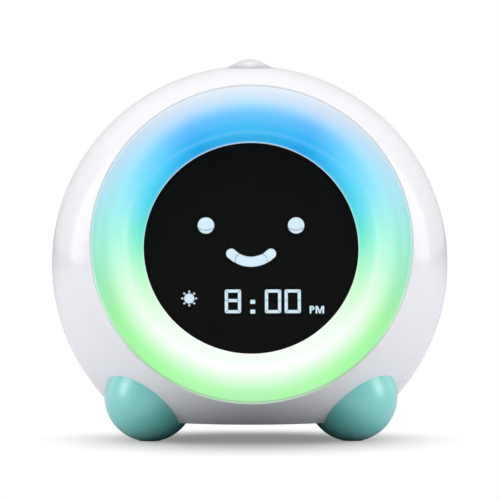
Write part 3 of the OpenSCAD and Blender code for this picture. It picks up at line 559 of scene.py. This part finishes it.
def as_mesh(name, curve, where):
    """The mesh of a filled curve or text, put in place."""
    maker = bpy.data.objects.new(name, curve)
    bpy.context.scene.collection.objects.link(maker)
    bpy.context.view_layer.update()
    mesh = bpy.data.meshes.new_from_object(
        maker.evaluated_get(bpy.context.evaluated_depsgraph_get()))
    bpy.data.objects.remove(maker)
    work = bmesh.new()
    work.from_mesh(mesh)
    bmesh.ops.remove_doubles(work, verts=work.verts, dist=1e-7)
    bmesh.ops.recalc_face_normals(work, faces=work.faces)
    work.to_mesh(mesh)
    work.free()
    mesh.transform(where)
    mesh.name = name
    piece = bpy.data.objects.new(name, mesh)
    bpy.context.scene.collection.objects.link(piece)
    return piece


def circle(x, y, radius, points=40):
    return [(x + radius * math.cos(k * math.tau / points),
             y + radius * math.sin(k * math.tau / points)) for k in range(points)]


def bar(start, end, width):
    a, b = Vector(start), Vector(end)
    side = (b - a).normalized().orthogonal() * width / 2
    return [tuple(p) for p in (a + side, b + side, b - side, a - side)]


def polygon(size, *corners):
    """An outline with its corners in shares of the sign's size."""
    return [(x * size, y * size) for x, y in corners]


def clock_sign(size, line):
    rim, hand = size / 2, line * 0.8
    return [circle(0, 0, rim), circle(0, 0, rim - line),
            bar((0, -0.08 * size), (0, 0.3 * size), hand),
            bar((line * 0.5, -line * 0.1), (0.24 * size, -line * 0.1), hand)]


def bell_sign(size):
    radius = 0.3 * size
    dome = [(radius * math.cos(a), 0.12 * size + radius * math.sin(a))
            for a in (k * math.pi / 16 for k in range(17))]
    skirt = polygon(size, (-0.3, -0.1), (-0.45, -0.26), (0.45, -0.26), (0.3, -0.1))
    return [dome + skirt, circle(0, -0.4 * size, 0.1 * size, 20),
            circle(0, 0.47 * size, 0.05 * size, 16)]


def timer_sign(size, line):
    return [bar((-0.34 * size, 0.46 * size), (0.34 * size, 0.46 * size), line),
            bar((-0.34 * size, -0.46 * size), (0.34 * size, -0.46 * size), line),
            polygon(size, (-0.27, 0.36), (0.27, 0.36), (0.03, 0.02), (-0.03, 0.02)),
            polygon(size, (-0.27, -0.36), (-0.03, -0.02), (0.03, -0.02), (0.27, -0.36))]


def lamp_sign(size, line):
    radius, cap = 0.29 * size, line * 0.7
    bulb = [(radius * math.cos(a), 0.18 * size + radius * math.sin(a))
            for a in (math.radians(-55 + k * 290 / 28) for k in range(29))]
    return [bulb + polygon(size, (-0.14, -0.2), (0.14, -0.2)),
            bar((-0.14 * size, -0.3 * size), (0.14 * size, -0.3 * size), cap),
            bar((-0.09 * size, -0.42 * size), (0.09 * size, -0.42 * size), cap)]


def arrow_sign(size, way):
    return [polygon(size, (-0.38, -0.3 * way), (0.38, -0.3 * way), (0, 0.34 * way))]


def wire_coil(name, radius, wire, base, height, turns):
    """A compression spring along +Z as one swept wire."""
    steps_per_turn, sides = 40, 10
    steps = int(turns * steps_per_turn)
    up = Vector((0, 0, 1))
    work = bmesh.new()
    rings = []
    for i in range(steps + 1):
        share = i / steps
        angle = share * turns * math.tau
        out = Vector((math.cos(angle), math.sin(angle), 0))
        middle = base + out * radius + up * (wire + share * (height - 2 * wire))
        rings.append([work.verts.new(middle + wire * (
            out * math.cos(k * math.tau / sides) + up * math.sin(k * math.tau / sides)))
            for k in range(sides)])
    for a, b in zip(rings, rings[1:]):
        for k in range(sides):
            n = (k + 1) % sides
            work.faces.new((a[k], b[k], b[n], a[n])).smooth = True
    work.faces.new(rings[0])
    work.faces.new(rings[-1][::-1])
    bmesh.ops.recalc_face_normals(work, faces=work.faces)
    mesh = bpy.data.meshes.new(name)
    work.to_mesh(mesh)
    work.free()
    piece = bpy.data.objects.new(name, mesh)
    bpy.context.scene.collection.objects.link(piece)
    return piece


def letter_outlines(height, line):
    """The letters P and M beside the time, centred together."""
    top, bottom = height / 2, -height / 2
    left, width, bowl = -0.93 * height, 0.62 * height, 0.29 * height
    upper = [(left + width - bowl + bowl * math.cos(a), top - bowl + bowl * math.sin(a))
             for a in (math.pi / 2 - k * math.pi / 12 for k in range(13))]
    inner = bowl - line * 0.85
    eye = [(left + width - bowl + inner * math.cos(a), top - bowl + inner * math.sin(a))
           for a in (math.pi / 2 - k * math.pi / 8 for k in range(9))]
    stem = left + line
    letter_p = [(left, bottom), (left, top), *upper, (stem, top - 2 * bowl), (stem, bottom)]
    hole = [(stem, top - bowl + inner), *eye, (stem, top - bowl - inner)]
    first, last = -0.16 * height, 0.93 * height
    middle = (first + last) / 2
    letter_m = [(first, bottom), (first, top), (first + 1.35 * line, top),
                (middle, bottom + 0.36 * height), (last - 1.35 * line, top), (last, top),
                (last, bottom), (last - line, bottom), (last - line, top - 1.3 * line),
                (middle + 0.42 * line, bottom), (middle - 0.42 * line, bottom),
                (first + line, top - 1.3 * line), (first + line, bottom)]
    return [letter_p, hole, letter_m]


class ALARMCLOCK_OT_housing(bpy.types.Operator):
    """Finish the two glossy shells, the battery door and the screws in their wells"""

    bl_idname = "alarm_clock.housing"
    bl_label = "Housing"

    def execute(self, context):
        shell = polished_abs(context.scene.clock_body)
        finish(shell, "front_housing", "rear_cover", "battery_door")
        # Zinc-plated steel, cold headed: dull grey with turning lines
        zinc = drawn_metal("Steel zinc plated", linear("#B9BBBE"), 0.38)
        finish(zinc, "housing_screws", "ring_screws", "board_screws", "foot_screws")
        return {"FINISHED"}


class ALARMCLOCK_OT_night_light(bpy.types.Operator):
    """Finish the opal light ring, its reflector, its board and its lamps"""

    bl_idname = "alarm_clock.night_light"
    bl_label = "Night light"

    def execute(self, context):
        finish(lit_opal(context.scene.clock_night_light), "light_ring")
        # White polycarbonate with titanium filler: matt and very pale
        finish(moulded_plastic("Polycarbonate reflector white", linear("#F2F2F0"), 0.55,
                               texture_mm=0.8),
               "ring_reflector")
        finish(circuit_board(), "ring_led_board", "display_board", "main_board", "key_board")
        # Phosphor-coated lamp package: pale yellow resin
        finish(moulded_plastic("Phosphor resin yellow", linear("#F0E2A6"), 0.35, texture_mm=0.3),
               "ring_leds", "segment_leds")
        return {"FINISHED"}


class ALARMCLOCK_OT_display(bpy.types.Operator):
    """Finish the smoked lens, the mask and the lit signs, and make the letters beside the time"""

    bl_idname = "alarm_clock.display"
    bl_label = "Display"

    def execute(self, context):
        settings = context.scene.clock_display
        finish(smoked_acrylic(settings), "display_lens")
        # The lens lies on the mask, and a hair's breadth between them keeps the two faces apart
        gap = 0.02 * MM
        apart = NODES["display_lens"].modifiers.new("apart", "DISPLACE")
        apart.mid_level = 0
        apart.strength = -gap
        # Black ABS with a matt eroded skin, so that no stray light shows between the signs
        mask = moulded_plastic("ABS matt black", linear("#0C0C0D"), 0.7, texture_mm=0.5,
                               gloss=0.06)
        finish(mask, "segment_mask")
        lit = lit_diffuser(settings)
        finish(lit, "segment_diffusers")
        # Black film over the lamp beside the time, with the two letters left clear, just under
        # the mask's front face
        window = Vector((24.5, -23.2)) * MM
        mask_front = 33.6 * MM
        half_width, half_height = 3.3 * MM, 2 * MM
        film_sunk, film_thickness = 0.09 * MM, 0.03 * MM
        letters_sunk, letters_thickness = 0.04 * MM, 0.02 * MM
        film = sign("period_film", [[(-half_width, -half_height), (half_width, -half_height),
                                     (half_width, half_height), (-half_width, half_height)]],
                    FACE @ Matrix.Translation((*window, mask_front - film_sunk)), film_thickness)
        settle(film, "clock", mask)
        letters = sign("period_letters",
                       letter_outlines(settings.letter_height, settings.letter_stroke),
                       FACE @ Matrix.Translation((*window, mask_front - letters_sunk)),
                       letters_thickness)
        settle(letters, "clock", lit)
        return {"FINISHED"}


class ALARMCLOCK_OT_top_button(bpy.types.Operator):
    """Finish the top button and make the coil spring under it"""

    bl_idname = "alarm_clock.top_button"
    bl_label = "Top button"

    def execute(self, context):
        body = context.scene.clock_body
        # White ABS, glossy: a clean sheen, a shade greyer than the shells
        finish(moulded_plastic("ABS gloss white keys", body.keys, 0.16, texture_mm=1.2,
                               depth_mm=0.002, tone=0.985),
               "key_clock", "key_alarm", "key_timer", "key_light", "key_down", "key_up")
        finish(recessed_button(body), "top_button")
        # Hard-drawn spring wire: bright, with fine drawing lines
        steel = drawn_metal("Steel spring wire", linear("#C4C6C9"), 0.28, line_mm=0.3)
        finish(steel, "battery_contacts")
        low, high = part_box("button_spring")
        base = Vector((0, BALL_CENTRE.y, low.z))
        coil_radius, wire_radius, turns, travel = 7.6 * MM, 0.4 * MM, 4.5, 1.5 * MM
        spring = wire_coil("top_button_spring", coil_radius, wire_radius, base, high.z - low.z,
                           turns)
        settle(spring, "clock", steel)
        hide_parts("button_spring")
        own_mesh(spring)
        return {"FINISHED"}


class ALARMCLOCK_OT_back(bpy.types.Operator):
    """Finish the socket and the battery bay, and print the signs above the keys"""

    bl_idname = "alarm_clock.back"
    bl_label = "Back"

    def execute(self, context):
        settings = context.scene.clock_back
        # Black nylon, moulded: satin
        finish(moulded_plastic("Nylon satin black", linear("#151516"), 0.42, texture_mm=0.4),
               "power_socket")
        # Turned brass under a flash of nickel: bright and a little warm
        finish(drawn_metal("Brass nickel flash", linear("#D8C48E"), 0.25), "socket_pin")
        finish(wrapped_cell(), "battery_cells")
        # Pad printing ink: a thin even film, duller than the shell under it
        ink = moulded_plastic("Pad printing ink grey", settings.ink, 0.5, texture_mm=0.3,
                              depth_mm=0.001)
        size, line = settings.sign_size, settings.sign_stroke
        drawings = (("clock_sign", clock_sign(size, line)), ("alarm_sign", bell_sign(size)),
                    ("timer_sign", timer_sign(size, line)), ("lamp_sign", lamp_sign(size, line)),
                    ("down_sign", arrow_sign(size, -1)), ("up_sign", arrow_sign(size, 1)))
        ink_thickness, ink_sunk = 0.04 * MM, 0.01 * MM
        for place, (name, loops) in enumerate(drawings):
            across = (place - (len(drawings) - 1) / 2) * settings.key_pitch
            where = BACK @ Matrix.Translation((
                across, settings.sign_height, BACK_DEPTH - ink_sunk))
            settle(sign(name, loops, where, ink_thickness), "clock", ink)
        return {"FINISHED"}


class ALARMCLOCK_OT_inside(bpy.types.Operator):
    """Finish the speaker, the switches, the chips and the brackets inside the ball"""

    bl_idname = "alarm_clock.inside"
    bl_label = "Inside"

    def execute(self, context):
        # Natural ABS of inner mouldings: ivory, matt
        finish(moulded_plastic("ABS natural matt", linear("#E4E2DA"), 0.55, texture_mm=0.8),
               "button_bracket", "speaker_clamp", "battery_box")
        # Phenolic resin of switch bodies, pressed: black and half matt
        finish(moulded_plastic("Phenolic black", linear("#222324"), 0.5, texture_mm=0.4),
               "top_switch", "key_switches")
        # Filled epoxy of chip packages: dark grey, sandy
        finish(moulded_plastic("Epoxy chip black", linear("#1C1C1D"), 0.6, texture_mm=0.25,
                               depth_mm=0.01),
               "board_chips")
        finish(flat_cable(), "ribbon_cable")
        # Pressed steel: bright, with fine lines from the press tool
        finish(drawn_metal("Steel pressed bright", linear("#AEB0B3"), 0.35), "speaker_frame")
        # Pressed paper pulp: fibrous and matt
        finish(moulded_plastic("Paper cone black", linear("#1B1B1B"), 0.85, texture_mm=0.7,
                               depth_mm=0.05, tone=0.7),
               "speaker_cone")
        # Sintered ferrite: dark grey with a ground face
        finish(moulded_plastic("Ferrite sintered", linear("#3A3B3D"), 0.6, texture_mm=0.5,
                               depth_mm=0.02, tone=0.8),
               "speaker_magnet")
        # Closed-cell foam: open pores on the cut edge
        finish(moulded_plastic("Foam closed cell black", linear("#161616"), 0.9, texture_mm=0.6,
                               depth_mm=0.08, tone=0.6),
               "speaker_gasket")
        return {"FINISHED"}


class ALARMCLOCK_OT_feet(bpy.types.Operator):
    """Finish the four teal ball feet and their anti-slip pads"""

    bl_idname = "alarm_clock.feet"
    bl_label = "Feet"

    def execute(self, context):
        body = context.scene.clock_body
        finish(satin_abs(body), "front_foot_left", "front_foot_right", "rear_foot_left",
               "rear_foot_right")
        # Thermoplastic rubber: dull, slightly dusty
        finish(moulded_plastic("Rubber anti-slip grey", body.pad, 0.75, texture_mm=0.5,
                               depth_mm=0.02, tone=0.8),
               "foot_pads")
        return {"FINISHED"}


class ALARMCLOCK_OT_studio(bpy.types.Operator):
    """Set up the pale floor, the soft lights, the room and the camera"""

    bl_idname = "alarm_clock.studio"
    bl_label = "Studio"

    def execute(self, context):
        studio = context.scene.clock_studio
        self.floor(studio)
        self.room(context.scene, studio)
        # Place of each light and its width and height, in metres, all turned to the clock's middle
        middle = Vector((0, 0, 70 * MM))
        for side in (-1, 1):
            self.light("strip", (side * 0.95, -0.3, 0.4), middle, (0.3, 0.7), studio.strip_power)
            self.light("edge", (side * 0.91, 0.5, 0.38), middle, (0.3, 0.72), studio.edge_power)
        self.light("top", (0, -0.06, 1.15), middle, (1.2, 1.6), studio.top_power)
        self.camera(context.scene, studio)
        context.scene.view_settings.view_transform = "Standard"
        return {"FINISHED"}

    def floor(self, studio):
        mesh = bpy.data.meshes.new("floor")
        # A square of 12 m, so that its edges stay out of view
        half = 6.0
        mesh.from_pydata([(-half, -half, 0), (half, -half, 0), (half, half, 0),
                          (-half, half, 0)], [], [(0, 1, 2, 3)])
        floor = bpy.data.objects.new("floor", mesh)
        bpy.context.scene.collection.objects.link(floor)
        # Matt paint. The clock sees it grey, and nearly black where the clock stands: a painted
        # shadow. The camera sees the pale paint, which takes the clock's real shadow, inside an
        # oval of painted shadow, and plain white round it
        material, tree = new_material("Matt studio paint")
        to_camera = add_node(tree, "ShaderNodeLightPath").outputs["Is Camera Ray"]
        place = add_node(tree, "ShaderNodeTexCoord").outputs["Object"]
        # The nearly black painted shadow is an oval, 1.8 times as deep as it is wide
        narrow = add_node(tree, "ShaderNodeVectorMath", {0: place, 1: (1.8, 1, 0)},
                          operation="MULTIPLY")
        away = add_node(tree, "ShaderNodeVectorMath", {0: narrow.outputs["Vector"]},
                        operation="LENGTH")
        beyond = add_node(tree, "ShaderNodeMapRange", {
            "Value": away.outputs["Value"], "From Min": 60 * MM, "From Max": 115 * MM})
        tone = add_node(tree, "ShaderNodeMix", {
            "Factor": beyond.outputs["Result"], "A": rgba(studio.floor_painted_shadow),
            "B": rgba(studio.far_floor)}, data_type="RGBA")
        grey = add_node(tree, "ShaderNodeBsdfDiffuse", {"Color": tone.outputs["Result"]})
        pale = add_node(tree, "ShaderNodeBsdfDiffuse", {"Color": rgba(linear("#A8A8A8"))})
        white = add_node(tree, "ShaderNodeEmission", {"Color": rgba(linear("#FFFFFF"))})
        # The camera's painted shadow: its middle lies 20 mm to the front. It reaches 88 mm further
        # to the front, 85 mm to each side and 53 mm back; beyond it the floor shows plain white
        parts = add_node(tree, "ShaderNodeSeparateXYZ", {"Vector": place}).outputs
        side, back, front = [add_node(tree, "ShaderNodeMath", {
            0: parts[axis], 1: 1 / (extent * MM), 2: shift / extent},
            operation="MULTIPLY_ADD").outputs["Value"]
            for axis, extent, shift in (("X", 85, 0), ("Y", 53, 20), ("Y", -88, 20))]
        depth = add_node(tree, "ShaderNodeMath", {0: back, 1: front}, operation="MAXIMUM")
        across = add_node(tree, "ShaderNodeCombineXYZ", {"X": side, "Y": depth.outputs["Value"]})
        around = add_node(tree, "ShaderNodeVectorMath", {0: across.outputs["Vector"]},
                          operation="LENGTH")
        rise = add_node(tree, "ShaderNodeMapRange", {
            "Value": around.outputs["Value"], "From Min": 0.3, "From Max": 1.0, "To Min": 0.25,
            "To Max": 1.0}, interpolation_type="SMOOTHSTEP")
        shown = add_node(tree, "ShaderNodeMixShader", {
            "Fac": rise.outputs["Result"], 1: pale.outputs["BSDF"], 2: white.outputs["Emission"]})
        paint = add_node(tree, "ShaderNodeMixShader", {
            "Fac": to_camera, 1: grey.outputs["BSDF"], 2: shown.outputs["Shader"]})
        add_node(tree, "ShaderNodeOutputMaterial", {"Surface": paint.outputs["Shader"]})
        mesh.materials.append(material)

    def room(self, scene, studio):
        world = bpy.data.worlds.new("Plain room")
        scene.world = world
        world.use_nodes = True
        tree = world.node_tree
        tree.nodes.clear()
        # White to the camera, a little dimmer in reflections, and dimmest as light on the clock
        path = add_node(tree, "ShaderNodeLightPath").outputs
        seen = add_node(tree, "ShaderNodeMath", {
            0: path["Is Glossy Ray"], 1: studio.reflections, 2: path["Is Camera Ray"]},
            operation="MULTIPLY_ADD", use_clamp=True)
        strength = add_node(tree, "ShaderNodeMapRange", {
            "Value": seen.outputs["Value"], "To Min": studio.surroundings, "To Max": 1.0})
        background = add_node(tree, "ShaderNodeBackground", {
            "Color": rgba(linear("#FFFFFF")), "Strength": strength.outputs["Result"]})
        add_node(tree, "ShaderNodeOutputWorld", {"Surface": background.outputs["Background"]})

    def light(self, name, place, target, size, power):
        data = bpy.data.lights.new(name, "AREA")
        data.shape = "RECTANGLE"
        data.size, data.size_y = size
        data.energy = power
        lamp = bpy.data.objects.new(name, data)
        lamp.location = place
        lamp.rotation_euler = (target - Vector(place)).to_track_quat("-Z", "Y").to_euler()
        bpy.context.scene.collection.objects.link(lamp)

    def camera(self, scene, studio):
        data = bpy.data.cameras.new("camera")
        data.sensor_width = 36
        data.lens = data.sensor_width * studio.distance / studio.width
        camera = bpy.data.objects.new("camera", data)
        up, left = studio.elevation, studio.sideways
        target = Vector((0.1 * MM, BALL_CENTRE.y, BALL_CENTRE.z + 5.2 * MM))
        camera.location = target + studio.distance * Vector((
            -math.sin(left) * math.cos(up), -math.cos(left) * math.cos(up), math.sin(up)))
        camera.rotation_euler = (math.pi / 2 - up, 0, -left)
        scene.collection.objects.link(camera)
        scene.camera = camera


# ---------------------------------------------------------------- add-on

PIECES = (ALARMCLOCK_OT_housing, ALARMCLOCK_OT_night_light, ALARMCLOCK_OT_display,
          ALARMCLOCK_OT_top_button, ALARMCLOCK_OT_back, ALARMCLOCK_OT_inside,
          ALARMCLOCK_OT_feet, ALARMCLOCK_OT_studio)
SETTINGS = {"clock_body": ClockBodySettings, "clock_night_light": NightLightSettings,
            "clock_display": DisplaySettings, "clock_back": BackSettings,
            "clock_studio": StudioSettings}


class ALARMCLOCK_PT_panel(bpy.types.Panel):
    """Sizes, colours and pieces of the clock"""

    bl_idname = "ALARMCLOCK_PT_panel"
    bl_label = "Alarm Clock"
    bl_space_type = "VIEW_3D"
    bl_region_type = "UI"
    bl_category = "Alarm Clock"

    def draw(self, context):
        for group in SETTINGS:
            box = self.layout.box()
            settings = getattr(context.scene, group)
            for name in settings.__annotations__:
                box.prop(settings, name)
        for piece in PIECES:
            self.layout.operator(piece.bl_idname)


def register():
    for group in (*SETTINGS.values(), *PIECES, ALARMCLOCK_PT_panel):
        bpy.utils.register_class(group)
    for name, group in SETTINGS.items():
        setattr(bpy.types.Scene, name, PointerProperty(type=group))


def unregister():
    for name in SETTINGS:
        delattr(bpy.types.Scene, name)
    for group in reversed((*SETTINGS.values(), *PIECES, ALARMCLOCK_PT_panel)):
        bpy.utils.unregister_class(group)


def main():
    register()
    for piece in PIECES:
        family, name = piece.bl_idname.split(".")
        getattr(getattr(bpy.ops, family), name)()


if __name__ == "__main__":
    main()
